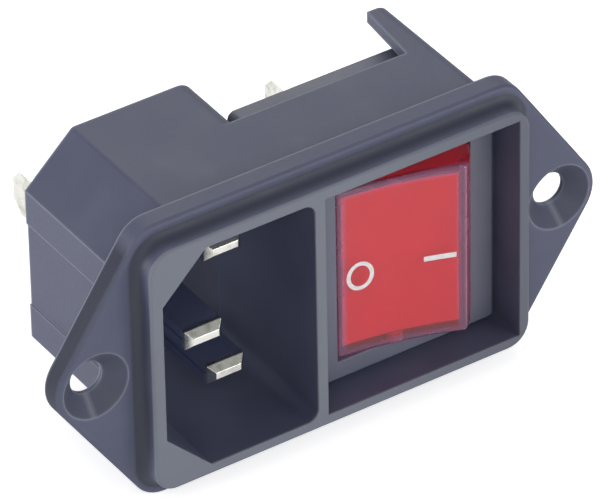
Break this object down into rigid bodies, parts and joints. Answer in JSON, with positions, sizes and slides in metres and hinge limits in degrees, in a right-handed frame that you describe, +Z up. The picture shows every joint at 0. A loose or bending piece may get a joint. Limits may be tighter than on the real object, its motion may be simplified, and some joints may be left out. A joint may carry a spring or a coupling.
{
  "type": "power entry module",
  "caption": "Flanged black housing with a mains inlet beside a red rocker switch, screw ears at its ends and push-on tabs at the back.",
  "frame": {"origin": "midway between the two screw holes, on the flange's rear face, which lies on the panel", "axes": "+X along the flange from the inlet to the switch, +Y rearwards through the panel, +Z up; the front looks towards -Y"},
  "size_m": [0.0592, 0.0326, 0.0302],
  "materials": {
    "black_moulding": "fine satin moulding",
    "nickel_plate": "bright nickel plating on brass strip",
    "silver": "silver contact",
    "red_lens": "glossy, lets light through",
    "white_moulding": "plain",
    "spring_steel": "drawn wire",
    "bulb_glass": "clear",
    "resistor_coat": "lacquer",
    "lead_wire": "tinned wire",
    "copper_alloy": "bare strip"
  },
  "bodies": {
    "housing": {"housing": "black_moulding", "rear_plate": "black_moulding", "switch_body": "black_moulding", "line_pin": "nickel_plate", "neutral_pin": "nickel_plate", "earth_pin": "nickel_plate", "centre_terminal_upper": "nickel_plate", "centre_terminal_lower": "nickel_plate", "on_terminal_upper": "nickel_plate", "on_terminal_lower": "nickel_plate", "fixed_contact_upper": "silver", "fixed_contact_lower": "silver"},
    "rocker": {"rocker_lens": "red_lens", "rocker_carrier": "white_moulding", "plunger_spring_upper": "spring_steel", "plunger_spring_lower": "spring_steel", "neon_bulb": "bulb_glass", "series_resistor": "resistor_coat", "lamp_lead_upper": "lead_wire", "lamp_link": "lead_wire", "lamp_lead_lower": "lead_wire"},
    "plunger_upper": {"plunger_upper": "white_moulding"},
    "plunger_lower": {"plunger_lower": "white_moulding"},
    "blade_upper": {"contact_blade_upper": "copper_alloy", "moving_contact_upper": "silver"},
    "blade_lower": {"contact_blade_lower": "copper_alloy", "moving_contact_lower": "silver"}
  },
  "joints": [
    {"name": "rocker_tilt", "type": "hinge", "parent": "housing", "child": "rocker", "pos_m": [0.00885, 0.00225, 0], "axis": [0, 0, 1], "range_deg": [0, 28]},
    {"name": "blade_rock_upper", "type": "hinge", "parent": "housing", "child": "blade_upper", "pos_m": [0.00885, 0.0091, 0.0048], "axis": [0, 0, 1], "range_deg": [-18, 0]},
    {"name": "blade_rock_lower", "type": "hinge", "parent": "housing", "child": "blade_lower", "pos_m": [0.00885, 0.0091, -0.0048], "axis": [0, 0, 1], "range_deg": [-18, 0]},
    {"name": "plunger_slide_upper", "type": "slide", "parent": "rocker", "child": "plunger_upper", "axis": [-0.2419, -0.9703, 0], "range_m": [0, 0.0006], "stiffness_N_per_m": 300, "springref_m": -0.0015, "deforming": ["plunger_spring_upper"]},
    {"name": "plunger_slide_lower", "type": "slide", "parent": "rocker", "child": "plunger_lower", "axis": [-0.2419, -0.9703, 0], "range_m": [0, 0.0006], "stiffness_N_per_m": 300, "springref_m": -0.0015, "deforming": ["plunger_spring_lower"]}
  ],
  "couplings": [
    {"joint": "blade_rock_upper", "follows": "rocker_tilt", "ratio": -0.64286},
    {"joint": "blade_rock_lower", "follows": "rocker_tilt", "ratio": -0.64286}
  ]
}
